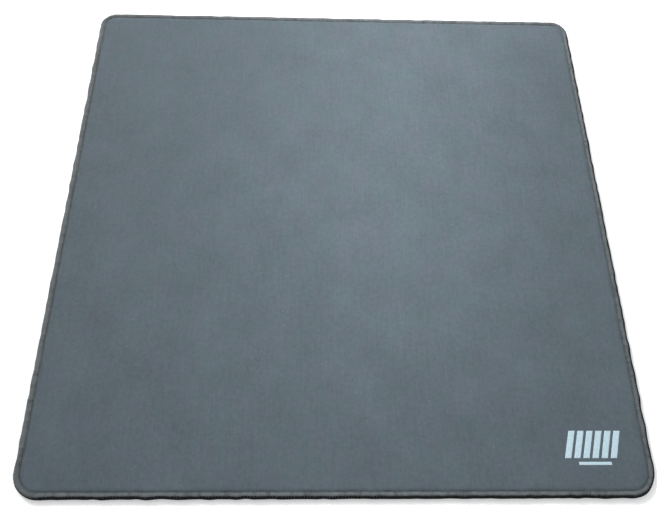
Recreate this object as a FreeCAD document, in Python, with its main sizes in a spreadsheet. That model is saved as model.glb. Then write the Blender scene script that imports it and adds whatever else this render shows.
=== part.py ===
"""Desk mat: a square cloth-topped rubber mat with an overlocked edge.

Frame: millimetres, +Z up, origin on the desk under the centre of the mat.  The front edge is
at -Y, and the printed mark is in the front right corner (+X, -Y).

The mat is a laminate.  A foam rubber base carries a film of hot-melt adhesive, and the
cloth is bonded on that.  Round the edge the three layers are squeezed into a thinner
margin, which is wrapped by the two looper threads of a three-thread overlock stitch.  The
needle thread runs along the inner side of the wrapping, where it binds the loops down.
"""
import FreeCAD, Part
import math
import os
import re
import Sketcher

# Driving dimensions in millimetres: alias, value, meaning.
DIMENSIONS = [
    ("mat_width", 450.0, "overall size from left to right"),
    ("mat_depth", 450.0, "overall size from front to back"),
    ("front_corner_radius", 19.0, "outer radius of the two front corners"),
    ("rear_corner_radius", 15.0, "outer radius of the two rear corners"),
    ("field_height", 4.0, "top of the cloth above the desk"),
    ("cloth_thickness", 0.5, "woven top layer"),
    ("film_thickness", 0.1, "hot-melt film between cloth and rubber"),
    ("margin_press", 0.4, "how far the stitches press the margin's top down"),
    ("margin_lift", 0.5, "how far the margin's underside is off the desk"),
    ("margin_round", 0.3, "rounding of the squeezed margin's outer edges"),
    ("thread_thickness", 0.45, "looper thread on each face of the margin"),
    ("interlock_height", 2.9, "where upper and lower looper meet on the outer side"),
    ("seam_inset", 4.8, "outer edge to the inner end of the looper threads"),
    ("needle_width", 0.5, "width of the needle thread's line"),
    ("needle_height", 0.3, "height of the needle thread above the margin's cloth"),
    ("step_inset", 5.4, "outer edge to the foot of the step up to the field"),
    ("step_chamfer", 0.35, "bevel along the top of that step"),
    ("ink_thickness", 0.05, "how deep the printed ink soaks into the cloth"),
    ("mark_centre_x", 182.6, "middle of the printed mark"),
    ("mark_front_inset", 27.7, "front edge of the mat to the foot of the mark's bars"),
    ("bar_count", 6, "number of slanted bars in the mark"),
    ("bar_pitch", 6.6, "from one bar to the next"),
    ("bar_width", 4.6, "width of one bar along its foot"),
    ("bar_height", 19.5, "height of a bar"),
    ("bar_slant", 5.4, "sideways lean of a bar from its foot to its top"),
    ("line_width", 23.6, "short line under the bars, from left to right"),
    ("line_height", 2.2, "height of that line"),
    ("line_gap", 2.6, "space between the bars and the line"),
]

# Heights and insets that follow from the driving dimensions, as expressions.
SHEET_NAME = "Dimensions"
GAUGE_NAME = "Gauge"
FILM_FIELD_BOTTOM = "(field_height - cloth_thickness - film_thickness)"
CLOTH_FIELD_BOTTOM = "(field_height - cloth_thickness)"
FILM_MARGIN_BOTTOM = "(field_height - cloth_thickness - film_thickness - margin_press)"
CLOTH_MARGIN_BOTTOM = "(field_height - cloth_thickness - margin_press)"
CLOTH_MARGIN_TOP = "(field_height - margin_press)"
INK_BOTTOM = "(field_height - ink_thickness)"
BAND_TOP = "(field_height - margin_press + thread_thickness)"
BAND_BOTTOM = "(margin_lift - thread_thickness)"
BAND_ROUND = "(margin_round + thread_thickness)"
TRIM_INSET = "thread_thickness"
FILM_STEP_INSET = "(step_inset + cloth_thickness)"
BASE_STEP_INSET = "(step_inset + cloth_thickness + film_thickness)"

EDGE_TOLERANCE = 1e-4       # how near an edge must be to where it is looked for, mm


# ---------------------------------------------------------------- sheet and expressions

def fill_sheet(doc):
    """The spreadsheet, with one aliased cell for each driving dimension."""
    sheet = doc.addObject("Spreadsheet::Sheet", SHEET_NAME)
    for row, (alias, number, meaning) in enumerate(DIMENSIONS, start=1):
        sheet.set(f"A{row}", alias)
        sheet.set(f"B{row}", str(number))
        sheet.set(f"C{row}", meaning)
        sheet.setAlias(f"B{row}", alias)
    doc.recompute()


def bound(expression):
    """The expression with each alias written as a reference to the sheet."""
    return re.sub(r"[a-z]\w*", lambda word: f"{SHEET_NAME}.{word[0]}", expression)


def add_gauge(doc):
    """A helper object whose one number is bound to an expression, to be read off."""
    gauge = doc.addObject("App::FeaturePython", GAUGE_NAME)
    gauge.addProperty("App::PropertyFloat", "Reading")


def value(doc, expression):
    """What an expression is worth at the sheet's present dimensions."""
    gauge = doc.getObject(GAUGE_NAME)
    gauge.setExpression("Reading", bound(expression))
    gauge.recompute()
    return gauge.Reading


# ---------------------------------------------------------------- sketches

def new_body(doc, label):
    """An empty body at the mat's origin, whose label names its file."""
    body = doc.addObject("PartDesign::Body", "Body_" + label)
    body.Label = label
    body.Placement = FreeCAD.Placement()
    return body


def new_sketch(body, name, height):
    """A level sketch on the body's own XY plane, raised to the height."""
    sketch = body.newObject("Sketcher::SketchObject", name)
    level = [plane for plane in body.Origin.OriginFeatures if plane.Role == "XY_Plane"]
    sketch.AttachmentSupport = (level[0], [""])
    sketch.MapMode = "FlatFace"
    sketch.setExpression("AttachmentOffset.Base.z", bound(height))
    return sketch


def dimension(sketch, expression, kind, *places):
    """Add a constraint whose size is bound to the expression."""
    size = value(sketch.Document, expression)
    index = sketch.addConstraint(Sketcher.Constraint(kind, *places, size))
    sketch.setExpression(f"Constraints[{index}]", bound(expression))


def draw_outline(sketch, inset):
    """Draw the mat's outline moved inwards by the inset: four arcs and four sides."""
    doc = sketch.Document
    half_width = f"mat_width / 2 - {inset}"
    half_depth = f"mat_depth / 2 - {inset}"
    front_radius = f"front_corner_radius - {inset}"
    rear_radius = f"rear_corner_radius - {inset}"
    right = value(doc, half_width)
    back = value(doc, half_depth)

    # Corners in turn from the front right one: side of X, side of Y, radius.
    corners = [(1, -1, front_radius), (1, 1, rear_radius), (-1, 1, rear_radius), (-1, -1, front_radius)]
    arcs = []
    for quarter, (side_x, side_y, radius) in enumerate(corners):
        size = value(doc, radius)
        centre = FreeCAD.Vector(side_x * (right - size), side_y * (back - size), 0)
        circle = Part.Circle(centre, FreeCAD.Vector(0, 0, 1), size)
        start = math.radians(90 * quarter - 90)
        arc = sketch.addGeometry(Part.ArcOfCircle(circle, start, start + math.radians(90)))
        dimension(sketch, radius, "Radius", arc)
        arcs.append(arc)

    sides = []
    for arc, next_arc in zip(arcs, arcs[1:] + arcs[:1]):
        line = Part.LineSegment(sketch.getPoint(arc, 2), sketch.getPoint(next_arc, 1))
        side = sketch.addGeometry(line)
        sketch.addConstraint(Sketcher.Constraint("Tangent", arc, 2, side, 1))
        sketch.addConstraint(Sketcher.Constraint("Tangent", side, 2, next_arc, 1))
        sides.append(side)

    right_side, back_side, left_side, front_side = sides
    sketch.addConstraint([Sketcher.Constraint("Vertical", side) for side in (right_side, left_side)])
    sketch.addConstraint([Sketcher.Constraint("Horizontal", side) for side in (back_side, front_side)])
    dimension(sketch, half_width, "DistanceX", -1, 1, right_side, 1)
    dimension(sketch, half_width, "DistanceX", left_side, 1, -1, 1)
    dimension(sketch, half_depth, "DistanceY", -1, 1, back_side, 1)
    dimension(sketch, half_depth, "DistanceY", front_side, 1, -1, 1)


def draw_leaning_bar(sketch, left, foot, width, height, slant):
    """Draw a bar whose foot and top are level and whose top leans to the right."""
    doc = sketch.Document
    x, y = value(doc, left), value(doc, foot)
    wide, tall, lean = value(doc, width), value(doc, height), value(doc, slant)
    points = [(x, y), (x + wide, y), (x + wide + lean, y + tall), (x + lean, y + tall)]
    lines = []
    for start, end in zip(points, points[1:] + points[:1]):
        line = Part.LineSegment(FreeCAD.Vector(*start, 0), FreeCAD.Vector(*end, 0))
        lines.append(sketch.addGeometry(line))
    for line, next_line in zip(lines, lines[1:] + lines[:1]):
        sketch.addConstraint(Sketcher.Constraint("Coincident", line, 2, next_line, 1))
    foot_line, right_line, top_line, _ = lines
    sketch.addConstraint([Sketcher.Constraint("Horizontal", line) for line in (foot_line, top_line)])
    dimension(sketch, width, "DistanceX", foot_line, 1, foot_line, 2)
    dimension(sketch, width, "DistanceX", top_line, 2, top_line, 1)
    dimension(sketch, left, "DistanceX", -1, 1, foot_line, 1)
    dimension(sketch, f"0 - ({foot})", "DistanceY", foot_line, 1, -1, 1)
    dimension(sketch, height, "DistanceY", right_line, 1, right_line, 2)
    if lean:
        dimension(sketch, slant, "DistanceX", right_line, 1, right_line, 2)
    else:
        sketch.addConstraint(Sketcher.Constraint("Vertical", right_line))


# ---------------------------------------------------------------- features

def extrude(body, kind, name, sketch, length):
    """Pad the sketch upwards, or pocket it downwards, by the length."""
    before = body.Shape.Volume if body.Tip else 0
    feature = body.newObject("PartDesign::" + kind, name)
    feature.Profile = sketch
    feature.setExpression("Length", bound(length))
    body.Document.recompute()
    if (body.Shape.Volume > before) != (kind == "Pad"):
        raise RuntimeError(f"{body.Label}: {name} changes the volume the wrong way")
    return feature


def pad_outline(body, name, bottom, top, *insets):
    """A slab of the mat's outline between two heights, or a ring between two insets."""
    sketch = new_sketch(body, name + "_outline", bottom)
    for inset in insets:
        draw_outline(sketch, inset)
    extrude(body, "Pad", name, sketch, f"{top} - {bottom}")


def pocket_outline(body, name, bottom, top, inset):
    """Cut the slab of the mat's outline between two heights out of the body."""
    sketch = new_sketch(body, name + "_outline", top)
    draw_outline(sketch, inset)
    extrude(body, "Pocket", name, sketch, f"{top} - {bottom}")


def add_mark(body, kind, height):
    """The printed mark, padded or pocketed from this height: leaning bars over a short line."""
    left = "mark_centre_x - ((bar_count - 1) * bar_pitch + bar_width + bar_slant) / 2"
    foot = "mark_front_inset - mat_depth / 2"
    sketch = new_sketch(body, "bar_outline", height)
    draw_leaning_bar(sketch, left, foot, "bar_width", "bar_height", "bar_slant")
    bar = extrude(body, kind, "first_bar", sketch, "ink_thickness")

    bars = body.newObject("PartDesign::LinearPattern", "bars")
    bars.Originals = [bar]
    bars.Direction = (sketch, ["H_Axis"])
    bars.setExpression("Length", bound("(bar_count - 1) * bar_pitch"))
    bars.setExpression("Occurrences", bound("bar_count"))
    body.Tip = bars
    body.Document.recompute()

    under = new_sketch(body, "line_outline", height)
    line_left = "mark_centre_x - line_width / 2"
    line_foot = f"{foot} - line_gap - line_height"
    draw_leaning_bar(under, line_left, line_foot, "line_width", "line_height", "0")
    extrude(body, kind, "short_line", under, "ink_thickness")


def rim_edges(body, height, inset):
    """Names of the edges at this height that follow the outline moved in by the inset."""
    doc = body.Document
    level = value(doc, height)
    right = value(doc, f"mat_width / 2 - {inset}")
    back = value(doc, f"mat_depth / 2 - {inset}")
    names = []
    for number, edge in enumerate(body.Tip.Shape.Edges, start=1):
        points = [vertex.Point for vertex in edge.Vertexes]
        on_rim = [abs(min(right - abs(point.x), back - abs(point.y))) < EDGE_TOLERANCE
                  and abs(point.z - level) < EDGE_TOLERANCE for point in points]
        if all(on_rim):
            names.append(f"Edge{number}")
    if len(names) != 8:
        raise RuntimeError(f"{body.Label}: {len(names)} edges at {height}, {inset}")
    return names


def dress_rim(body, kind, name, size, height, inset):
    """Round off or bevel one rim: kind is Fillet or Chamfer."""
    base = body.Tip
    edges = rim_edges(body, height, inset)
    feature = body.newObject("PartDesign::" + kind, name)
    feature.Base = (base, edges)
    feature.setExpression("Radius" if kind == "Fillet" else "Size", bound(size))
    body.Document.recompute()


# ---------------------------------------------------------------- sub-parts

def rubber_base(doc):
    """Foam rubber layer: a thin margin for the stitches round a full-height field."""
    body = new_body(doc, "rubber_base")
    pad_outline(body, "base_margin", "margin_lift", FILM_MARGIN_BOTTOM, TRIM_INSET)
    dress_rim(body, "Fillet", "base_margin_round", "margin_round", "margin_lift", TRIM_INSET)
    pad_outline(body, "base_field", "0", FILM_FIELD_BOTTOM, BASE_STEP_INSET)
    dress_rim(body, "Chamfer", "base_top_bevel", "step_chamfer", FILM_FIELD_BOTTOM, BASE_STEP_INSET)
    dress_rim(body, "Chamfer", "base_foot_bevel", "step_chamfer", "0", BASE_STEP_INSET)
    return body


def stepped_layer(doc, label, margin, field, inner_inset, outer_inset):
    """A layer that lies on the margin and steps up over the field below it.

    margin and field are each the layer's bottom and top height; the insets are those of
    the step's inner face, against the layer below, and of its outer face.
    """
    body = new_body(doc, label)
    pad_outline(body, label + "_margin", margin[0], margin[1], TRIM_INSET)
    pad_outline(body, label + "_field", margin[0], field[1], outer_inset)
    pocket_outline(body, label + "_hollow", margin[0], field[0], inner_inset)
    dress_rim(body, "Chamfer", label + "_inner_bevel", "step_chamfer", field[0], inner_inset)
    dress_rim(body, "Chamfer", label + "_outer_bevel", "step_chamfer", field[1], outer_inset)
    return body


def bonding_film(doc):
    """Hot-melt film between the rubber and the cloth."""
    return stepped_layer(doc, "bonding_film",
                         (FILM_MARGIN_BOTTOM, CLOTH_MARGIN_BOTTOM),
                         (FILM_FIELD_BOTTOM, CLOTH_FIELD_BOTTOM),
                         BASE_STEP_INSET, FILM_STEP_INSET)


def cloth_face(doc):
    """Woven top layer, rounded over at its edge, with hollows for the printed ink."""
    body = stepped_layer(doc, "cloth_face",
                         (CLOTH_MARGIN_BOTTOM, CLOTH_MARGIN_TOP),
                         (CLOTH_FIELD_BOTTOM, "field_height"),
                         FILM_STEP_INSET, "step_inset")
    dress_rim(body, "Fillet", "cloth_margin_round", "margin_round", CLOTH_MARGIN_TOP, TRIM_INSET)
    add_mark(body, "Pocket", "field_height")
    return body


def looper_thread(doc, label, side, flat, margin_face, band_face):
    """One looper thread as a band: up or down the outer side and across the margin.

    side and flat are each the bottom and top height of those two stretches.  margin_face is
    the height of the margin's face under the flat stretch, and band_face that of its outer face.
    """
    body = new_body(doc, label)
    pad_outline(body, label + "_side", *side, "0", "thread_thickness")
    pad_outline(body, label + "_flat", *flat, "0", "seam_inset")
    dress_rim(body, "Fillet", label + "_outer_round", BAND_ROUND, band_face, "0")
    dress_rim(body, "Fillet", label + "_inner_round", "margin_round", margin_face, TRIM_INSET)
    return body


def upper_looper_thread(doc):
    """Looper thread over the top of the margin and down to the interlock line."""
    return looper_thread(doc, "upper_looper_thread",
                         ("interlock_height", BAND_TOP), (CLOTH_MARGIN_TOP, BAND_TOP),
                         CLOTH_MARGIN_TOP, BAND_TOP)


def lower_looper_thread(doc):
    """Looper thread under the margin and up its outer side to the interlock line."""
    return looper_thread(doc, "lower_looper_thread",
                         (BAND_BOTTOM, "interlock_height"), (BAND_BOTTOM, "margin_lift"),
                         "margin_lift", BAND_BOTTOM)


def needle_thread(doc):
    """Needle thread: the line along the inner ends of the upper looper's loops."""
    body = new_body(doc, "needle_thread")
    top = f"{CLOTH_MARGIN_TOP} + needle_height"
    pad_outline(body, "needle_line", CLOTH_MARGIN_TOP, top, "seam_inset", "(seam_inset + needle_width)")
    return body


def printed_mark(doc):
    """Generic printed mark: ink that fills its own hollows in the cloth, so it lies flush."""
    body = new_body(doc, "printed_mark")
    body.AllowCompound = True
    add_mark(body, "Pad", INK_BOTTOM)
    return body


# ---------------------------------------------------------------- checks and files

def check_document(doc, bodies):
    """Stop if any feature failed or any sub-part's shape is empty or not valid."""
    doc.recompute()
    for item in doc.Objects:
        if {"Invalid", "Error"} & set(item.State):
            raise RuntimeError(f"{item.Label} failed: {item.State}")
    for body in bodies:
        if body.Shape.isNull() or not body.Shape.isValid() or body.Shape.Volume <= 0:
            raise RuntimeError(f"{body.Label} has no valid shape")


def main():
    doc = FreeCAD.newDocument("desk_mat")
    fill_sheet(doc)
    add_gauge(doc)
    makers = (rubber_base, bonding_film, cloth_face, upper_looper_thread,
              lower_looper_thread, needle_thread, printed_mark)
    bodies = [maker(doc) for maker in makers]
    doc.removeObject(GAUGE_NAME)
    check_document(doc, bodies)
    os.makedirs("parts", exist_ok=True)
    for body in bodies:
        body.Shape.exportStep(f"parts/{body.Label}.step")
        box = body.Shape.BoundBox
        print(f"{body.Label}: {len(body.Shape.Solids)} solid, {body.Shape.Volume:.0f} mm3, "
              f"z {box.ZMin:.2f} to {box.ZMax:.2f}")


main()
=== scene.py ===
import math

import bpy
import numpy as np
from mathutils import Matrix, Vector


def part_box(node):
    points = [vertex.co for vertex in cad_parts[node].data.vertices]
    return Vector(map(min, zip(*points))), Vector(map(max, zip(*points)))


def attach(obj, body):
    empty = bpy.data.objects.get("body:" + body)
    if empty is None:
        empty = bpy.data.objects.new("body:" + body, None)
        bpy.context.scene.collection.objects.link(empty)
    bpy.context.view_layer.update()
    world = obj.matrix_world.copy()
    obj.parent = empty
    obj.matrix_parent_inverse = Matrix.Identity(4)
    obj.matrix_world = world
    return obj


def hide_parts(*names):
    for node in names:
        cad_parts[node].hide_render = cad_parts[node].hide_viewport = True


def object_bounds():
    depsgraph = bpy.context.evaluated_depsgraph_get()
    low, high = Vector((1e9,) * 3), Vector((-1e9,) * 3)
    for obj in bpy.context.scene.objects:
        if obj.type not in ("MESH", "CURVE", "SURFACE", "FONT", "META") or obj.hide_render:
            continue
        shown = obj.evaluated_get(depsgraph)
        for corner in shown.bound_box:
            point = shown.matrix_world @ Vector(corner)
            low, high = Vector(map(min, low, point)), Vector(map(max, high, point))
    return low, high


# Looks of the desk mat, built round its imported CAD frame.  Everything is in metres, with +Z up
# and the front edge at -Y.  Profiles are drawn in millimetres, as (inset, height) pairs: how
# far in from the mat's outer edge a point is, and how high above the desk.
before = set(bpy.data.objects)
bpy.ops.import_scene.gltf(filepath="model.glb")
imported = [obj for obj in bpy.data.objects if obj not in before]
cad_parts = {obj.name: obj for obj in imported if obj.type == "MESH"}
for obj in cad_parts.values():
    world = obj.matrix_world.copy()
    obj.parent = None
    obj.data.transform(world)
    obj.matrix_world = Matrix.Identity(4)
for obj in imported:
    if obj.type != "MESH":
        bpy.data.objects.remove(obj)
cad_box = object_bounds()

MM = 0.001
SEED = 11

# ---------------------------------------------------------------- sizes from the frame

cloth_low, cloth_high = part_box("cloth_face")
mark_low, mark_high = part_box("printed_mark")
needle_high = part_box("needle_thread")[1]

HALF_WIDTH = cad_box[1].x
HALF_DEPTH = cad_box[1].y
HALF_NEEDLE_LINE = 0.25 * MM            # half the needle thread's width in the frame
SEAM_INSET = HALF_WIDTH - needle_high.x + HALF_NEEDLE_LINE
FIELD_TOP = cloth_high.z
FRONT_CORNER_RADIUS = 19.0 * MM
REAR_CORNER_RADIUS = 15.0 * MM
FIELD_INSET = 10.0 * MM                 # where the flat field meets the dressed edge
STITCHES_PER_SIDE = 200
CLOTH_THICKNESS = 0.5 * MM
FILM_THICKNESS = 0.1 * MM

# ---------------------------------------------------------------- the seam line

QUARTER_TURN = math.pi / 2


def seam_sides():
    """The seam line as four sides, anticlockwise from the front one.

    A side runs from the middle of one corner to the middle of the next: half an arc, a
    straight run and half an arc.  Each piece is (length, centre or start, angle, radius), and
    a straight run has no radius.
    """
    front = (FRONT_CORNER_RADIUS, -1)
    rear = (REAR_CORNER_RADIUS, 1)
    corners = [(-1, front), (1, front), (1, rear), (-1, rear)]
    sides = []
    for number in range(4):
        pieces = []
        for corner, first_half in ((number, False), ((number + 1) % 4, True)):
            side_x, (radius, side_y) = corners[corner]
            centre = np.array([side_x * (HALF_WIDTH - radius), side_y * (HALF_DEPTH - radius)])
            angle = QUARTER_TURN * (number - 1) - (0 if first_half else QUARTER_TURN / 2)
            pieces.append((centre, angle, radius - SEAM_INSET))
        (centre_a, angle_a, radius_a), (centre_b, angle_b, radius_b) = pieces
        out = np.array([math.cos(angle_b), math.sin(angle_b)])
        start = centre_a + out * radius_a
        finish = centre_b + out * radius_b
        sides.append([
            (radius_a * QUARTER_TURN / 2, centre_a, angle_a, radius_a),
            (float(np.linalg.norm(finish - start)), start, angle_b, 0.0),
            (radius_b * QUARTER_TURN / 2, centre_b, angle_b, radius_b),
        ])
    return sides


SIDES = seam_sides()
SIDE_LENGTHS = [sum(piece[0] for piece in side) for side in SIDES]


def seam(turn):
    """Points on the seam line and their outward normals.  turn is the side's number plus
    how far along that side the point is, from 0 to 1, so it runs from 0 to 4 round the mat."""
    turn = np.mod(np.asarray(turn, float), 4.0)
    points = np.zeros((len(turn), 2))
    normals = np.zeros((len(turn), 2))
    for number, side in enumerate(SIDES):
        on_side = np.floor(turn).astype(int) == number
        along = (turn - number) * SIDE_LENGTHS[number]
        begin = 0.0
        for order, (length, place, angle, radius) in enumerate(side):
            last = order == len(side) - 1
            here = on_side & (along >= begin) & ((along < begin + length) | last)
            run = along[here] - begin
            if radius:
                angles = angle + run / radius
                out = np.stack([np.cos(angles), np.sin(angles)], axis=1)
                points[here] = place + out * radius
            else:
                out = np.tile([math.cos(angle), math.sin(angle)], (len(run), 1))
                ahead = np.array([-math.sin(angle), math.cos(angle)])
                points[here] = place + run[:, None] * ahead
            normals[here] = out
            begin += length
    return points, normals


# ---------------------------------------------------------------- gentle irregularity

def smoothstep(low, high, x):
    """A smooth rise from 0 to 1 as x goes from low to high."""
    share = np.clip((x - low) / (high - low), 0.0, 1.0)
    return share * share * (3 - 2 * share)


def rim_waves(seed, shortest, longest, count, size):
    """A smooth random function of turn that closes on itself, with about this rms size."""
    rng = np.random.default_rng(seed)
    whole = sum(SIDE_LENGTHS)
    cycles = rng.integers(int(whole / longest), int(whole / shortest), count)
    phases = rng.uniform(0, 2 * math.pi, count)
    heights = rng.uniform(0.5, 1.0, count)
    heights *= size * math.sqrt(2) / np.linalg.norm(heights)

    def waves(turn):
        angles = np.outer(np.asarray(turn) / 4.0 * 2 * math.pi, cycles) + phases
        return np.sin(angles) @ heights
    return waves


def field_waves(seed, shortest, longest, count, size):
    """A smooth random function of x and y, with about this rms size."""
    rng = np.random.default_rng(seed)
    lengths = rng.uniform(shortest, longest, count)
    headings = rng.uniform(0, math.pi, count)
    phases = rng.uniform(0, 2 * math.pi, count)
    heights = np.full(count, size * math.sqrt(2 / count))
    across = np.stack([np.cos(headings), np.sin(headings)]) * (2 * math.pi / lengths)

    def waves(points):
        return np.sin(points @ across + phases) @ heights
    return waves


# The trimmed edge and the seam wander in and out, the edge lifts off the desk here and there,
# and the knots of the loopers move along the wrap by a small share of its length.
edge_wander = rim_waves(SEED, 14 * MM, 90 * MM, 26, 0.15 * MM)
edge_lift = rim_waves(SEED + 1, 25 * MM, 160 * MM, 14, 0.09 * MM)
MEAN_LIFT = 0.14 * MM
seam_wander = rim_waves(SEED + 2, 9 * MM, 40 * MM, 20, 0.07 * MM)
knot_wander = rim_waves(SEED + 4, 10 * MM, 60 * MM, 20, 0.009)
undulation = field_waves(SEED + 3, 45 * MM, 170 * MM, 18, 0.055 * MM)
# How much stronger or weaker than usual the painted shade in the seam groove and needle holes is,
# and how much lighter or darker the yarns.
groove_shade_wander = rim_waves(SEED + 9, 8 * MM, 150 * MM, 24, 0.35)
yarn_tone = rim_waves(SEED + 10, 30 * MM, 260 * MM, 16, 0.1)


def rim_point(turn, inset, height):
    """Points near the edge at this inset and height, with the edge's wander and lift."""
    points, normals = seam(turn)
    near_edge = 1 - smoothstep(5.5 * MM, FIELD_INSET, inset)
    wander = edge_wander(turn) * (1 - smoothstep(0.5 * MM, 5 * MM, inset))
    wander = wander + seam_wander(turn) * near_edge
    flat = points + normals * (SEAM_INSET - inset + wander)[:, None]
    lift = (edge_lift(turn) + MEAN_LIFT) * near_edge
    return np.column_stack([flat, height + np.maximum(lift, 0.0)])


# ---------------------------------------------------------------- layers of the laminate

# Top of the cloth from the flat field out to its trimmed edge.  The stitches pull a groove at
# the seam, and the margin swells under the loops and rolls over at the edge.
CLOTH_PROFILE = [(9.4, 3.995), (8.7, 3.98), (8.1, 3.95), (7.5, 3.9), (6.95, 3.83), (6.45, 3.73),
                 (6.0, 3.61), (5.6, 3.48), (5.25, 3.36), (4.95, 3.29), (4.65, 3.28), (4.25, 3.32),
                 (3.75, 3.43), (3.15, 3.54), (2.55, 3.59), (1.95, 3.49), (1.5, 3.29), (1.17, 2.99),
                 (1.0, 2.65), (0.95, 2.35)]
# The rubber's trimmed edge and squeezed margin, from under the film to the flat underside.
BASE_RIM_PROFILE = [(0.95, 2.2), (0.9, 1.7), (1.05, 1.2), (1.45, 0.8), (2.1, 0.58), (3.2, 0.5),
                    (4.8, 0.56), (5.6, 0.46), (6.3, 0.3), (7.0, 0.13), (7.8, 0.03), (8.8, 0.0)]

PUCKER_DEPTH = 0.18 * MM                # how far each needle hole pulls the cloth down
HOLE_INSET = 5.4 * MM                   # the row of needle holes
HOLE_REACH = 0.85 * MM                  # how far from the row the pull fades


def offset_profile(profile, depth):
    """The profile moved inwards, square to itself, by the depth in metres."""
    points = np.array(profile)
    ahead = np.gradient(points, axis=0)
    ahead /= np.linalg.norm(ahead, axis=1)[:, None]
    inward = np.column_stack([-ahead[:, 1], ahead[:, 0]])
    return points + inward * (depth / MM)


def profile_rows(profile, turn, on_desk=False, puckered=False):
    """The profile swept round the mat: one row of points for each of its points."""
    rows = []
    for inset_mm, height_mm in profile:
        inset = np.full(len(turn), inset_mm * MM)
        row = rim_point(turn, inset, np.full(len(turn), height_mm * MM))
        if not on_desk:
            row[:, 2] += undulation(row[:, :2]) * smoothstep(6 * MM, FIELD_INSET, inset)
        if puckered:
            row[:, 2] -= PUCKER_DEPTH * needle_pull(turn, inset)
        rows.append(row)
    return rows


def needle_pull(turn, inset):
    """How near each point is to a needle hole: 1 at the hole, and 0 away from it."""
    hole = 0.5 + 0.5 * np.cos(2 * math.pi * turn * STITCHES_PER_SIDE)
    return hole * np.exp(-((inset - HOLE_INSET) / HOLE_REACH) ** 2)


def side_turns(cells_x, cells_y):
    """turn for every column round the mat, with this many on each kind of side."""
    counts = (cells_x, cells_y, cells_x, cells_y)
    return np.concatenate([side + np.arange(count) / count for side, count in enumerate(counts)])


def field_grid(cells_x, cells_y):
    """Points that fill the field evenly between its four curved sides, and the order of
    those on its rim, anticlockwise from the front left corner."""
    turn = side_turns(cells_x, cells_y)
    rim = rim_point(turn, np.full(len(turn), FIELD_INSET), np.zeros(len(turn)))[:, :2]
    rim = np.vstack([rim, rim[:1]])
    stops = np.cumsum([0, cells_x, cells_y, cells_x, cells_y])
    front, right, back, left = (rim[a:b + 1] for a, b in zip(stops[:-1], stops[1:]))
    back, left = back[::-1], left[::-1]
    u = np.linspace(0, 1, cells_x + 1)[None, :, None]
    v = np.linspace(0, 1, cells_y + 1)[:, None, None]
    ruled = (1 - v) * front[None] + v * back[None] + (1 - u) * left[:, None] + u * right[:, None]
    corners = ((1 - u) * (1 - v) * front[0] + u * (1 - v) * front[-1]
               + (1 - u) * v * back[0] + u * v * back[-1])
    number = np.arange((cells_x + 1) * (cells_y + 1)).reshape(cells_y + 1, cells_x + 1)
    loop = np.concatenate([number[0, :-1], number[:-1, -1], number[-1, :0:-1], number[:0:-1, 0]])
    return (ruled - corners).reshape(-1, 2), number, loop


def grid_faces(number):
    """Quads of a grid of point numbers, seen anticlockwise from above."""
    return np.stack([number[:-1, :-1], number[:-1, 1:], number[1:, 1:], number[1:, :-1]],
                    axis=-1).reshape(-1, 4).tolist()


def ring_faces(inner, outer):
    """Quads between two rows with as many points."""
    return np.stack([inner, outer, np.roll(outer, -1), np.roll(inner, -1)], axis=1).tolist()


def fan_faces(loop, row):
    """Triangles between a coarse loop and a finer row outside it."""
    ratio = len(row) // len(loop)
    faces = []
    for k, (a, b) in enumerate(zip(loop, np.roll(loop, -1))):
        fine = [row[(k * ratio + s) % len(row)] for s in range(ratio + 1)]
        middle = (ratio + 1) // 2
        faces += [(a, fine[s], fine[s + 1]) for s in range(middle)]
        faces.append((a, fine[middle], b))
        faces += [(b, fine[s], fine[s + 1]) for s in range(middle, ratio)]
    return faces


def turned(faces):
    """The same faces, seen from the other side."""
    return [tuple(face)[::-1] for face in faces]


def layer_mesh(name, columns, top, rows, bottom):
    """A closed layer: a top field, rows that run out, round the edge and back, and a bottom
    field.  top and bottom are each (cells in x, cells in y, function that sets heights)."""
    points, faces, loops = [], [], []
    for cells_x, cells_y, heights in (top, bottom):
        flat, number, loop = field_grid(cells_x, cells_y)
        first = sum(len(block) for block in points)
        points.append(heights(flat, number))
        loops.append(loop + first)
        quads = grid_faces(number + first)
        faces += turned(quads) if loops[1:] else quads
    first = sum(len(block) for block in points)
    numbers = [first + k * columns + np.arange(columns) for k in range(len(rows))]
    points += rows
    for inner, outer in zip(numbers, numbers[1:]):
        faces += ring_faces(inner, outer)
    faces += fan_faces(loops[0], numbers[0])
    faces += turned(fan_faces(loops[1], numbers[-1]))
    return mesh_object(name, np.vstack(points), faces)


def mesh_object(name, points, faces):
    """A smooth-shaded mesh object at the origin."""
    mesh = bpy.data.meshes.new(name)
    mesh.from_pydata(points.tolist(), [], faces)
    mesh.polygons.foreach_set("use_smooth", np.ones(len(mesh.polygons), bool))
    mesh.update()
    piece = bpy.data.objects.new(name, mesh)
    bpy.context.scene.collection.objects.link(piece)
    return piece


def level(height):
    """Heights of a plain field that follows the mat's gentle undulation."""
    def heights(flat, number):
        return np.column_stack([flat, height + undulation(flat)])
    return heights


CLOTH_COLUMNS = 3 * STITCHES_PER_SIDE   # on each side
CLOTH_CELLS = CLOTH_COLUMNS // 5
FILM_CELLS = CLOTH_CELLS // 2
RIB_COUNT = 100
RIB_CELLS_X = 180                       # underside: along the ribs
RIB_CELLS_Y = 4 * RIB_COUNT             # and four across each of them
RIB_DEPTH = 0.35 * MM
RIB_WAVE_HEIGHT = 1.1 * MM
RIB_WAVE_LENGTH = 13 * MM


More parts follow.
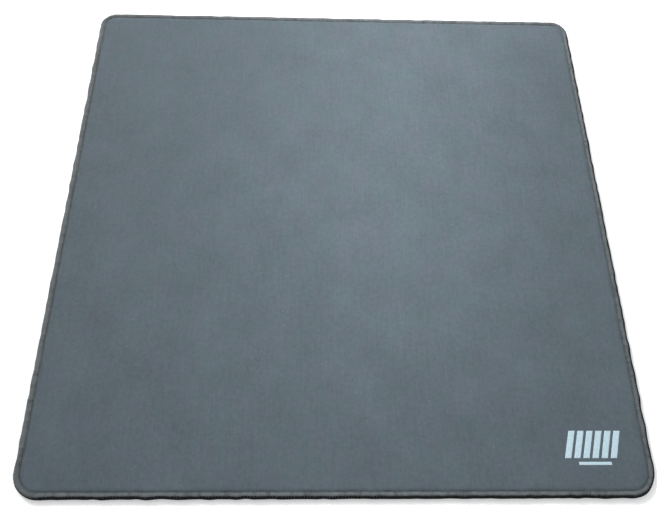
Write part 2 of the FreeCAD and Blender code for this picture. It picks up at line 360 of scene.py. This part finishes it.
def make_cloth():
    """The woven face: field, seam groove and the margin that the loops wrap.

    Its points know how many millimetres they are from the edge, how near they are to a needle
    hole, and how strong the painted shade of the seam groove is beside them.
    """
    turn = side_turns(CLOTH_COLUMNS, CLOTH_COLUMNS)
    under = offset_profile(CLOTH_PROFILE, CLOTH_THICKNESS)[::-3]
    rows = profile_rows(CLOTH_PROFILE, turn, puckered=True)
    rows += profile_rows(under, turn, puckered=True)
    piece = layer_mesh("cloth_sheet", len(turn),
                       (CLOTH_CELLS, CLOTH_CELLS, level(FIELD_TOP)), rows,
                       (FILM_CELLS, FILM_CELLS, level(FIELD_TOP - CLOTH_THICKNESS)))
    insets = np.repeat(np.vstack([CLOTH_PROFILE, under])[:, 0], len(turn))
    field = np.full(len(piece.data.vertices) - len(insets), FIELD_INSET / MM)
    store(piece, "edge_inset", np.concatenate([field, insets]))
    turns = np.tile(turn, len(insets) // len(turn))
    # The material paints shade at the needle holes from this.
    store(piece, "needle_pull", np.concatenate([field * 0, needle_pull(turns, insets * MM)]))
    # How strong the painted shade of the seam groove and needle holes is, all round.
    store(piece, "seam_tightness", np.concatenate([field * 0 + 1, 1 + groove_shade_wander(turns)]))
    return piece


def make_film():
    """The hot-melt film, which only shows where the mat is cut open."""
    turn = side_turns(FILM_CELLS * 4, FILM_CELLS * 4)
    over = offset_profile(CLOTH_PROFILE, CLOTH_THICKNESS)[::2]
    under = offset_profile(CLOTH_PROFILE, CLOTH_THICKNESS + FILM_THICKNESS)[::-2]
    rows = profile_rows(over, turn) + profile_rows(under, turn)
    top = FIELD_TOP - CLOTH_THICKNESS
    return layer_mesh("bonding_sheet", len(turn), (FILM_CELLS, FILM_CELLS, level(top)), rows,
                      (FILM_CELLS, FILM_CELLS, level(top - FILM_THICKNESS)))


def ribbed_underside(flat, number):
    """Grip ribs across the underside: flat-topped waves that fade out near its rim."""
    row = np.arange(number.shape[0])[:, None] + 0 * number
    column = np.arange(number.shape[1])[None, :] + 0 * number
    to_rim_y = np.minimum(row, number.shape[0] - 1 - row)
    to_rim_x = np.minimum(column, number.shape[1] - 1 - column)
    fade = (smoothstep(0, 6, to_rim_y) * smoothstep(0, 4, to_rim_x)).ravel()
    pitch = 2 * (HALF_DEPTH - FIELD_INSET) / (number.shape[0] - 1)
    steepen = np.array([0.0, 0.6, 0.2, 0.4])[row % 4].ravel() * pitch
    groove = (row % 4 >= 2).ravel()
    points = np.column_stack([flat, RIB_DEPTH * groove * fade])
    wave = RIB_WAVE_HEIGHT * np.sin(2 * math.pi * flat[:, 0] / RIB_WAVE_LENGTH)
    points[:, 1] += (steepen + wave) * fade
    return points


def make_base():
    """The foam rubber layer, with its squeezed margin and its ribbed underside."""
    turn = side_turns(RIB_CELLS_X, RIB_CELLS_Y)
    depth = CLOTH_THICKNESS + FILM_THICKNESS
    rows = profile_rows(offset_profile(CLOTH_PROFILE, depth)[::3], turn)
    rows += profile_rows(BASE_RIM_PROFILE, turn, on_desk=True)
    return layer_mesh("rubber_slab", len(turn),
                      (RIB_CELLS_X // 5, RIB_CELLS_Y // 5, level(FIELD_TOP - depth)), rows,
                      (RIB_CELLS_X, RIB_CELLS_Y, ribbed_underside))


# ---------------------------------------------------------------- threads

# Middle of the looper yarns, wrapped round the margin from the seam on top to the seam below.
# The two loopers meet at a knot line partway along it, on the edge; on the front and right sides
# it sits up on the shoulder, so the dark lower yarn shows wider there as painted shade.
WRAP_PROFILE = [(4.85, 3.34), (4.5, 3.46), (4.05, 3.61), (3.45, 3.76), (2.8, 3.85), (2.2, 3.80),
                (1.7, 3.64), (1.25, 3.34), (0.88, 2.88), (0.7, 2.3), (0.67, 1.7), (0.82, 1.05),
                (1.3, 0.58), (2.1, 0.31), (3.2, 0.25), (4.3, 0.27), (4.95, 0.33)]
KNOT_ON_EDGE = 0.42
KNOT_ON_SHOULDER = 0.22
NEEDLE_HEIGHT = 3.38 * MM
NEEDLE_INSET = 5.05 * MM
NEEDLE_DIP = 0.34 * MM                  # how far its stitches dive into the holes
NEEDLE_SIZE = 0.32 * MM
PLUNGE = 0.03                           # how far a loop's ends run on past the wrap, as a share


def knot_line(turn):
    """Where the loopers meet, as a share of the wrap's length."""
    turn = np.mod(turn, 4.0)
    from_corner = np.minimum(np.abs(turn - 2.0), np.minimum(turn, 4.0 - turn))
    # Painted shade: +1 on the front and right sides, -1 on the back and left, easing over at the
    # corners.
    painted_shade = np.where(turn < 2.0, 1, -1) * np.minimum(from_corner / 0.05, 1.0)
    share = smoothstep(-1.0, 1.0, painted_shade)
    return KNOT_ON_EDGE + (KNOT_ON_SHOULDER - KNOT_ON_EDGE) * share + knot_wander(turn)


def store(piece, name, values):
    """Keep a number for each point of the mesh, for its material to read."""
    attribute = piece.data.attributes.new(name, "FLOAT", "POINT")
    attribute.data.foreach_set("value", np.asarray(values, np.float32))


def yarn_object(name, centres, upward, widths, thicknesses, shades, sides):
    """A closed loop of yarn with an oval section.  Its points know how far along and round
    the yarn they are, and how light the yarn is there."""
    ahead = np.roll(centres, -1, axis=0) - np.roll(centres, 1, axis=0)
    across = np.cross(ahead, upward)
    across /= np.linalg.norm(across, axis=1)[:, None]
    angles = np.arange(sides) * 2 * math.pi / sides
    ring = (across[:, None] * (np.cos(angles)[None] * widths[:, None] / 2)[..., None]
            + upward[:, None] * (np.sin(angles)[None] * thicknesses[:, None] / 2)[..., None])
    points = (centres[:, None] + ring).reshape(-1, 3)
    number = np.arange(len(points)).reshape(-1, sides)
    after = np.roll(number, -1, axis=0)
    faces = np.stack([number, after, np.roll(after, -1, axis=1), np.roll(number, -1, axis=1)],
                     axis=-1).reshape(-1, 4).tolist()
    piece = mesh_object(name, points, faces)
    steps = np.linalg.norm(np.diff(centres, axis=0), axis=1)
    run = np.concatenate([[0.0], np.cumsum(steps)]) / MM
    store(piece, "yarn_run", np.repeat(run, sides))
    store(piece, "yarn_turn", np.tile(angles / (2 * math.pi), len(centres)))
    store(piece, "yarn_shade", np.repeat(shades, sides))
    return piece


def loop_samples(steps, lean, turn_width):
    """One stitch of a looper yarn: out from the needle line, round, and back.

    Each sample has its place along the seam in stitches, its distance along the profile from
    0 to 1, and how full the yarn is there.
    """
    distance = np.linspace(0.0, 1.0, steps)
    place = turn_width + (lean - turn_width) * smoothstep(0.0, 0.45, distance)
    place += (0.5 - turn_width - lean) * smoothstep(0.6, 1.0, distance)
    full = 0.6 + 0.4 * smoothstep(0.0, 0.3, distance) - 0.4 * smoothstep(0.8, 1.0, distance)
    out = np.column_stack([place, distance, full])
    back = out[::-1].copy()
    back[:, 0] = 1.0 - back[:, 0]
    return np.vstack([out, [[0.5, 1 + PLUNGE, 0.5]], back, [[1.0, -PLUNGE, 0.5]]])


def on_wrap(share):
    """Inset, height and the direction away from the margin, as (out, up), at these shares of
    the wrap's length."""
    points = np.array(WRAP_PROFILE) * MM
    lengths = np.concatenate([[0.0], np.cumsum(np.linalg.norm(np.diff(points, axis=0), axis=1))])
    ahead = np.gradient(points, lengths, axis=0)
    run = share * lengths[-1]
    inset, height, in_, up = (np.interp(run, lengths, column)
                              for column in (*points.T, *ahead.T))
    size = np.hypot(in_, up)
    beyond = np.maximum(run - lengths[-1], 0) + np.minimum(run, 0)
    return inset + beyond * in_, height + beyond * up, -up / size, -in_ / size


def looper_yarn(name, over, steps, lean, width, thickness, sides, seed):
    """One looper thread: a loop at every stitch, over the margin or under it, all round."""
    rng = np.random.default_rng(seed)
    count = 4 * STITCHES_PER_SIDE
    place, distance, full = loop_samples(steps, lean, 0.18).T
    lag = rng.normal(0, 0.04, count)
    reach = rng.normal(0, 0.006, count)
    plump = rng.normal(1.0, 0.04, count)
    nudge = lag[:, None] * (1 - place) + np.roll(lag, -1)[:, None] * place
    turn = ((np.arange(count)[:, None] + place + nudge) / STITCHES_PER_SIDE).ravel()
    knot = knot_line(turn) + (reach[:, None] * smoothstep(0.7, 1.0, distance)).ravel()
    distance = np.tile(distance, count)
    inset, height, out, up = on_wrap(distance * knot if over else 1 - distance * (1 - knot))
    centres = rim_point(turn, inset, height)
    upward = np.column_stack([seam(turn)[1] * out[:, None], up])
    widths = width * (plump[:, None] * full).ravel()
    thicknesses = np.tile(thickness * (0.7 + 0.3 * full), count)
    dye = rng.normal(1.0, 0.19, count)
    dye = dye[:, None] * (1 - place) + np.roll(dye, -1)[:, None] * place
    # Random dye and tone, darker by up to 0.3 from 4.1 mm in to 4.9 mm in, where the yarn dives
    # into the seam groove: painted shade.
    needle_line_shade = smoothstep(4.1 * MM, 4.9 * MM, inset)
    shades = dye.ravel() * (1 + yarn_tone(turn)) * (1 - 0.3 * needle_line_shade)
    return yarn_object(name, centres, upward, widths, thicknesses, shades, sides)


def needle_yarn(name, seed):
    """The needle thread: a row of short stitches that dip into their holes."""
    rng = np.random.default_rng(seed)
    steps = 8
    count = 4 * STITCHES_PER_SIDE
    place = np.arange(steps) / steps
    turn = ((np.arange(count)[:, None] + place) / STITCHES_PER_SIDE).ravel()
    hole = np.tile((0.5 + 0.5 * np.cos(2 * math.pi * place)) ** 2, count)
    bulge = np.repeat(rng.normal(0, 0.04 * MM, count), steps) * (1 - hole)
    centres = rim_point(turn, NEEDLE_INSET + bulge, NEEDLE_HEIGHT - NEEDLE_DIP * hole)
    upward = np.tile([0.0, 0.0, 1.0], (len(turn), 1))
    sizes = NEEDLE_SIZE * (1 - 0.3 * hole)
    # Its tone is 0.7 of the grey yarn's, darker by 0.2 where it dives into the holes: painted
    # shade.
    return yarn_object(name, centres, upward, sizes, sizes * 0.85, 0.7 - 0.2 * hole, 6)


# ---------------------------------------------------------------- the printed mark

BAR_COUNT = 6
BAR_PITCH = 6.6 * MM
BAR_WIDTH = 4.6 * MM
BAR_HEIGHT = 19.5 * MM
LINE_WIDTH = 23.6 * MM
LINE_HEIGHT = 2.2 * MM
INK_PROUD = 0.012 * MM
INK_DEPTH = 0.04 * MM
INK_RAGGED = 0.035 * MM                 # how uneven the edge of the print is


def ink_patch(corner, along, up, cells_x, cells_y, rng):
    """Points and faces of a thin closed patch of ink with a slightly broken edge."""
    u, v = np.meshgrid(np.arange(cells_x + 1) / cells_x, np.arange(cells_y + 1) / cells_y)
    flat = corner + u[..., None] * along + v[..., None] * up
    rim = (u == 0) | (u == 1) | (v == 0) | (v == 1)
    flat = (flat + rng.normal(0, INK_RAGGED, flat.shape) * rim[..., None]).reshape(-1, 2)
    surface = FIELD_TOP + undulation(flat)
    points = np.vstack([np.column_stack([flat, surface + INK_PROUD]),
                        np.column_stack([flat, surface - INK_DEPTH])])
    number = np.arange(rim.size).reshape(rim.shape)
    loop = np.concatenate([number[0, :-1], number[:-1, -1], number[-1, :0:-1], number[:0:-1, 0]])
    faces = grid_faces(number) + turned(grid_faces(number + rim.size))
    faces += ring_faces(loop, loop + rim.size)
    return points, faces


def make_mark():
    """Six leaning bars over a short line, printed in the front right corner."""
    rng = np.random.default_rng(SEED + 8)
    left, right = mark_low.x, mark_high.x
    slant = right - left - BAR_WIDTH - (BAR_COUNT - 1) * BAR_PITCH
    bottom = mark_high.y - BAR_HEIGHT
    patches = []
    for bar in range(BAR_COUNT):
        corner = np.array([left + bar * BAR_PITCH, bottom])
        patches.append((corner, (BAR_WIDTH, 0.0), (slant, BAR_HEIGHT), 12, 48))
    middle = (left + right) / 2
    line = np.array([middle - LINE_WIDTH / 2, mark_low.y])
    patches.append((line, (LINE_WIDTH, 0.0), (0.0, LINE_HEIGHT), 60, 6))
    points, faces = [], []
    for corner, along, up, cells_x, cells_y in patches:
        first = sum(len(block) for block in points)
        block, quads = ink_patch(corner, np.array(along), np.array(up), cells_x, cells_y, rng)
        points.append(block)
        faces += [tuple(number + first for number in quad) for quad in quads]
    return mesh_object("ink_mark", np.vstack(points), faces)


# ---------------------------------------------------------------- materials

class Material:
    """A node material, with short ways to add and join its nodes."""

    def __init__(self, name):
        self.material = bpy.data.materials.new(name)
        self.material.use_nodes = True
        self.tree = self.material.node_tree
        self.shader = self.tree.nodes["Principled BSDF"]
        self.place = self.add("ShaderNodeTexCoord").outputs["Object"]

    def add(self, kind, **settings):
        """A new node of this kind, with these settings."""
        node = self.tree.nodes.new(kind)
        for setting, setting_value in settings.items():
            setattr(node, setting, setting_value)
        return node

    def join(self, socket, source):
        """Feed a socket from another socket, or set it to a plain value."""
        if isinstance(source, bpy.types.NodeSocket):
            self.tree.links.new(source, socket)
        else:
            socket.default_value = source

    def set(self, **values):
        """Set the shader's own inputs, named with _ for a space."""
        for name, source in values.items():
            self.join(self.shader.inputs[name.replace("_", " ")], source)

    def maths(self, operation, first, second=0.0, third=0.0):
        """The result of a Math node."""
        node = self.add("ShaderNodeMath", operation=operation)
        for socket, source in zip(node.inputs, (first, second, third)):
            self.join(socket, source)
        return node.outputs[0]

    def noise(self, size_mm, detail=2.0, stretch=(1.0, 1.0, 1.0), roughness=0.5):
        """Noise from 0 to 1 whose features are about this many millimetres across."""
        mapping = self.add("ShaderNodeMapping")
        self.join(mapping.inputs["Vector"], self.place)
        mapping.inputs["Scale"].default_value = [s / (size_mm * MM) for s in stretch]
        node = self.add("ShaderNodeTexNoise")
        self.join(node.inputs["Vector"], mapping.outputs[0])
        node.inputs["Scale"].default_value = 1.0
        node.inputs["Detail"].default_value = detail
        node.inputs["Roughness"].default_value = roughness
        return node.outputs["Fac"]

    def cells(self, size_mm, feature="F1"):
        """Distance to the nearest of points scattered about this far apart."""
        node = self.add("ShaderNodeTexVoronoi", feature=feature)
        self.join(node.inputs["Vector"], self.place)
        node.inputs["Scale"].default_value = 1.0 / (size_mm * MM)
        return node.outputs["Distance"]

    def attribute(self, name):
        """A number that the mesh keeps for each of its points."""
        return self.add("ShaderNodeAttribute", attribute_name=name).outputs["Fac"]

    def remap(self, source, low, high, to_low=0.0, to_high=1.0):
        """The source's range from low to high, clamped and stretched over another range."""
        node = self.add("ShaderNodeMapRange")
        for socket, value in zip(node.inputs, (source, low, high, to_low, to_high)):
            self.join(socket, value)
        return node.outputs[0]

    def blend(self, share, first, second):
        """A colour from first to second, as share goes from 0 to 1."""
        node = self.add("ShaderNodeMix", data_type="RGBA")
        for socket, source in zip((node.inputs[0], node.inputs[6], node.inputs[7]),
                                  (share, first, second)):
            self.join(socket, source)
        return node.outputs[2]

    def multiply(self, first, second):
        """One colour times another."""
        node = self.add("ShaderNodeMix", data_type="RGBA", blend_type="MULTIPLY")
        node.inputs[0].default_value = 1.0
        self.join(node.inputs[6], first)
        self.join(node.inputs[7], second)
        return node.outputs[2]

    def bump(self, height, depth_mm, strength=1.0, below=None):
        """Relief this many millimetres deep, on top of another relief if one is given."""
        node = self.add("ShaderNodeBump")
        self.join(node.inputs["Height"], height)
        node.inputs["Distance"].default_value = depth_mm * MM
        node.inputs["Strength"].default_value = strength
        if below is not None:
            self.join(node.inputs["Normal"], below)
        return node.outputs["Normal"]


def colour(red, green, blue):
    """A linear colour with full opacity."""
    return (red, green, blue, 1.0)


def scaled(rgb, share):
    """A colour made darker or lighter."""
    return colour(*(channel * share for channel in rgb[:3]))


CLOTH_COLOUR = colour(0.081, 0.106, 0.125)
GREY_YARN = colour(0.105, 0.120, 0.127)
# A near-black thread colour, made darker than black thread so the lower yarn on the front and
# right edges stands in for their shade: partly thread colour, partly painted shade.
CHARCOAL_YARN_AND_SHADE = colour(0.009, 0.0096, 0.0104)
RUBBER_COLOUR = colour(0.016, 0.016, 0.017)
FILM_COLOUR = colour(0.62, 0.60, 0.55)
INK_COLOUR = colour(0.50, 0.66, 0.74)


WEAVE_PITCH_MM = 0.42


def plain_weave(look):
    """Height of a plain weave, from 0 between the yarns to 1 on top of them."""
    split = look.add("ShaderNodeSeparateXYZ")
    look.join(split.inputs[0], look.place)
    warp = look.noise(14.0, detail=1.0)
    angles = []
    for axis in range(2):
        along = look.maths("MULTIPLY", split.outputs[axis], math.pi / (WEAVE_PITCH_MM * MM))
        angles.append(look.maths("MULTIPLY_ADD", warp, 2.2, along))
    crossing = look.maths("MULTIPLY", *(look.maths("SINE", angle) for angle in angles))
    return look.remap(look.maths("ABSOLUTE", crossing), 0.0, 1.0)


def cloth_material():
    """Woven polyester: mottled dye, painted shade in the seam groove, at the needle holes and
    between the woven yarns, and a few pale and dark specks.
    """
    look = Material("slate_cloth_face")
    weave = plain_weave(look)
    mottle = look.noise(2.6, detail=3.0, roughness=0.6)
    clouds = look.noise(38.0, detail=2.0)
    streaks = look.noise(1.2, detail=2.0, stretch=(1.0, 0.06, 1.0))
    shade = look.maths("MULTIPLY_ADD", mottle, 0.50, look.maths("MULTIPLY", clouds, 0.30))
    shade = look.maths("MULTIPLY_ADD", streaks, 0.20, shade)
    base = look.blend(look.remap(shade, 0.3, 0.7), scaled(CLOTH_COLOUR, 0.76),
                      scaled(CLOTH_COLOUR, 1.24))
    tint = look.remap(look.noise(13.0, detail=3.0), 0.4, 0.6)
    tint = look.blend(tint, colour(0.96, 1.013, 0.98), colour(1.035, 0.987, 1.02))
    base = look.multiply(base, tint)
    # Painted shade between the woven yarns, where the weave is low.
    base = look.blend(look.remap(weave, 0.0, 0.5, 0.35, 0.0), base, scaled(CLOTH_COLOUR, 0.55))
    # Painted shade: the cloth darkens from 9.4 mm in towards 5.2 mm in, down into the seam groove.
    painted_shade = look.remap(look.attribute("edge_inset"), 9.4, 5.2)
    # The painted shade runs stronger or weaker along the seam.
    shade_strength = look.attribute("seam_tightness")
    painted_shade = look.maths("MULTIPLY", look.maths("MULTIPLY", painted_shade, 0.08), shade_strength)
    base = look.blend(painted_shade, base, scaled(CLOTH_COLOUR, 0.4))
    # Painted shade in the needle holes: the cloth darkens at each hole, more where the groove
    # shade runs stronger.
    hole = look.maths("MULTIPLY", look.attribute("needle_pull"), 0.62)
    hole = look.maths("MULTIPLY", hole, shade_strength)
    base = look.blend(hole, base, scaled(CLOTH_COLOUR, 0.25))
    fleck = look.remap(look.cells(7.0), 0.028, 0.045, 1.0, 0.0)
    base = look.blend(look.maths("MULTIPLY", fleck, 0.55), base, colour(0.34, 0.36, 0.37))
    speck = look.remap(look.noise(0.9, detail=0.0), 0.76, 0.82)
    base = look.blend(look.maths("MULTIPLY", speck, 0.4), base, scaled(CLOTH_COLOUR, 0.45))
    fuzz = look.noise(0.35, detail=2.0)
    relief = look.bump(weave, 0.07, 0.55)
    relief = look.bump(fuzz, 0.05, 0.35, below=relief)
    rough = look.remap(mottle, 0.3, 0.7, 0.80, 0.94)
    look.set(Base_Color=base, Roughness=rough, Normal=relief, Sheen_Weight=0.12,
             Sheen_Roughness=0.5, Specular_IOR_Level=0.3)
    return look.material


def yarn_material(name, tint, twist_mm, sheen, gloss):
    """Textured polyester yarn: plies that wind round it with painted shade between them, fuzz, and
    uneven dye that carries painted shade near the needle line.
    """
    look = Material(name)
    run = look.maths("DIVIDE", look.attribute("yarn_run"), twist_mm)
    wind = look.maths("ADD", run, look.attribute("yarn_turn"))
    plies = look.maths("ABSOLUTE", look.maths("SINE", look.maths("MULTIPLY", wind, math.pi * 3)))
    strands = look.maths("SINE", look.maths("MULTIPLY", wind, math.pi * 22))
    patches = look.noise(3.0, detail=3.0)
    fuzz = look.noise(0.25, detail=2.0)
    shade = look.remap(look.maths("MULTIPLY_ADD", patches, 0.6, look.maths("MULTIPLY", fuzz, 0.4)),
                       0.3, 0.7)
    base = look.blend(shade, scaled(tint, 0.78), scaled(tint, 1.2))
    # Painted shade in the hollows between the plies.
    base = look.blend(look.remap(plies, 0.0, 0.45, 0.4, 0.0), base, scaled(tint, 0.4))
    # The stored value is the yarn's random dye and tone with painted shade near the needle line.
    dye_and_shade = look.blend(look.attribute("yarn_shade"), colour(0.0, 0.0, 0.0), colour(1.0, 1.0, 1.0))
    base = look.multiply(base, dye_and_shade)
    relief = look.bump(plies, 0.06, 0.5)
    relief = look.bump(strands, 0.02, 0.4, below=relief)
    relief = look.bump(fuzz, 0.05, 0.4, below=relief)
    look.set(Base_Color=base, Roughness=look.remap(fuzz, 0.3, 0.7, 0.62, 0.85), Normal=relief,
             Sheen_Weight=sheen, Sheen_Roughness=0.45, Specular_IOR_Level=gloss)
    return look.material


def rubber_material():
    """Black foam rubber with fine pores, with painted shade in them, and a little dust."""
    look = Material("foam_rubber_black")
    pores = look.cells(0.9)
    skin = look.noise(0.6, detail=3.0)
    dust = look.noise(24.0, detail=4.0, roughness=0.65)
    base = look.blend(look.remap(dust, 0.35, 0.75), scaled(RUBBER_COLOUR, 0.8),
                      scaled(RUBBER_COLOUR, 2.1))
    # Painted shade in the pores.
    base = look.blend(look.remap(pores, 0.0, 0.18, 0.6, 0.0), base, scaled(RUBBER_COLOUR, 0.4))
    relief = look.bump(pores, 0.10, 0.5)
    relief = look.bump(skin, 0.05, 0.5, below=relief)
    look.set(Base_Color=base, Roughness=look.remap(skin, 0.3, 0.7, 0.68, 0.88), Normal=relief,
             Specular_IOR_Level=0.35)
    return look.material


def film_material():
    """Off-white hot-melt adhesive."""
    look = Material("hot_melt_film")
    flow = look.noise(6.0, detail=3.0)
    crazing = look.cells(1.6, feature="DISTANCE_TO_EDGE")
    base = look.blend(look.remap(flow, 0.3, 0.7), scaled(FILM_COLOUR, 0.86), FILM_COLOUR)
    relief = look.bump(look.remap(crazing, 0.0, 0.1), 0.03, 0.4)
    look.set(Base_Color=base, Roughness=look.remap(flow, 0.3, 0.7, 0.3, 0.5), Normal=relief,
             Specular_IOR_Level=0.5)
    return look.material


def ink_material():
    """Pale blue ink, thin enough for the weave to show through."""
    look = Material("pale_ink_print")
    weave = plain_weave(look)
    cover = look.noise(1.4, detail=3.0, roughness=0.6)
    base = look.blend(look.remap(cover, 0.35, 0.65), scaled(INK_COLOUR, 0.9), INK_COLOUR)
    thin = look.maths("MULTIPLY", look.remap(weave, 0.0, 0.35, 0.5, 0.0),
                      look.remap(cover, 0.35, 0.7, 1.0, 0.3))
    base = look.blend(thin, base, scaled(CLOTH_COLOUR, 1.6))
    relief = look.bump(weave, 0.05, 0.4)
    look.set(Base_Color=base, Roughness=look.remap(cover, 0.3, 0.7, 0.45, 0.65), Normal=relief,
             Specular_IOR_Level=0.4)
    return look.material


def desk_material():
    """Plain white laminate that glows a little, so the mat's shadow stays faint."""
    look = Material("pale_desk")
    haze = look.noise(160.0, detail=2.0)
    base = look.blend(haze, colour(0.88, 0.89, 0.90), colour(0.92, 0.925, 0.93))
    look.set(Base_Color=base, Roughness=0.6, Specular_IOR_Level=0.25,
             Emission_Color=base, Emission_Strength=0.25)
    return look.material


# ---------------------------------------------------------------- the pieces

def finish_piece(piece, material, slot, *nodes):
    """Give a piece its material, and let it stand for its CAD nodes. The slot is not used."""
    piece.data.materials.append(material)
    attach(piece, "root")
    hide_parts(*nodes)
    return piece


base = finish_piece(make_base(), rubber_material(), "foam_rubber", "rubber_base")
film = finish_piece(make_film(), film_material(), "hot_melt", "bonding_film")
cloth = finish_piece(make_cloth(), cloth_material(), "slate_cloth", "cloth_face")
upper = looper_yarn("upper_looper_yarn", over=True, steps=7, lean=0.25, width=1.5 * MM,
                    thickness=0.48 * MM, sides=7, seed=SEED + 5)
lower = looper_yarn("lower_looper_yarn", over=False, steps=11, lean=0.25, width=1.4 * MM,
                    thickness=0.46 * MM, sides=5, seed=SEED + 6)
needle = needle_yarn("needle_yarn", SEED + 7)
grey = yarn_material("grey_polyester_yarn", GREY_YARN, twist_mm=1.9, sheen=0.15, gloss=0.35)
# The lower yarn's look: charcoal thread, dark enough to carry painted shade on the front and right
# edges.
charcoal = yarn_material("charcoal_polyester_yarn", CHARCOAL_YARN_AND_SHADE, twist_mm=1.9, sheen=0.0,
                         gloss=0.1)
finish_piece(upper, grey, "grey_thread", "upper_looper_thread")
finish_piece(needle, grey, "grey_thread", "needle_thread")
finish_piece(lower, charcoal, "charcoal_thread", "lower_looper_thread")
finish_piece(make_mark(), ink_material(), "pale_ink", "printed_mark")

# ---------------------------------------------------------------- desk, light and camera

DESK_SIZE = 30.0
DESK_GAP = 0.2 * MM                     # keeps the desk's surface clear of the mat's underside

bpy.ops.mesh.primitive_plane_add(size=DESK_SIZE, location=(0, 0, -DESK_GAP))
desk = bpy.context.object
desk.name = "desk_top"
desk.data.materials.append(desk_material())


def soft_lamp(name, place, aim, size, spread, power):
    """A soft panel lamp at this place, aimed at a point, that the camera doesn't see."""
    data = bpy.data.lights.new(name, "AREA")
    data.shape = "RECTANGLE"
    data.size, data.size_y = size
    data.spread = math.radians(spread)
    data.energy = power
    lamp = bpy.data.objects.new(name, data)
    bpy.context.scene.collection.objects.link(lamp)
    lamp.location = place
    lamp.rotation_euler = (Vector(aim) - Vector(place)).to_track_quat("-Z", "Y").to_euler()
    lamp.visible_camera = False
    return lamp


# A long lamp over the mat's far half and beyond, a wide one behind it on the left that leaves
# the near right corner darker, and a strip along the back edge.
overhead_width, overhead_length = 0.08, 0.8
overhead = soft_lamp("overhead_lamp", (0.076, 0.28, 0.2), (0.076, 0.28, 0.0),
                     size=(overhead_width, overhead_length), spread=180, power=0.97)
overhead.rotation_euler.z -= math.atan2(0.1, overhead_length)
soft_lamp("side_lamp", (-1.05, 1.34, 1.06), (-0.15, 0.15, 0.0), size=(0.9, 0.9), spread=28,
          power=2.1)
soft_lamp("back_lamp", (0.0, 0.38, 0.25), (0.0, 0.38, 0.0), size=(1.0, 0.08), spread=180,
          power=0.58)

world = bpy.data.worlds.new("studio")
bpy.context.scene.world = world
world.use_nodes = True
sky = world.node_tree.nodes["Background"]
sky.inputs["Color"].default_value = (1.0, 1.0, 1.0, 1.0)
sky.inputs["Strength"].default_value = 0.65

# The camera stands in front of the mat, looks down on it, and is turned and rolled slightly.
camera_data = bpy.data.cameras.new("photo_view")
camera_data.sensor_width = 36.0
camera_data.sensor_fit = "HORIZONTAL"
camera_data.lens = 40.277
camera_data.shift_x = -0.0227
camera_data.clip_start = 0.01
camera_data.dof.use_dof = False
camera = bpy.data.objects.new("photo_view", camera_data)
bpy.context.scene.collection.objects.link(camera)

depression = math.radians(62.2)
azimuth = math.radians(4.17)
roll = math.radians(4.16)
looking = Vector((math.sin(azimuth) * math.cos(depression),
                  math.cos(azimuth) * math.cos(depression), -math.sin(depression)))
facing = looking.to_track_quat("-Z", "Y").to_matrix()
camera_place = (-0.0154, -0.31, 0.5293)
camera.matrix_world = (Matrix.Translation(camera_place)
                       @ (facing @ Matrix.Rotation(roll, 3, "Z")).to_4x4())
bpy.context.scene.camera = camera
bpy.context.scene.view_settings.view_transform = "Standard"
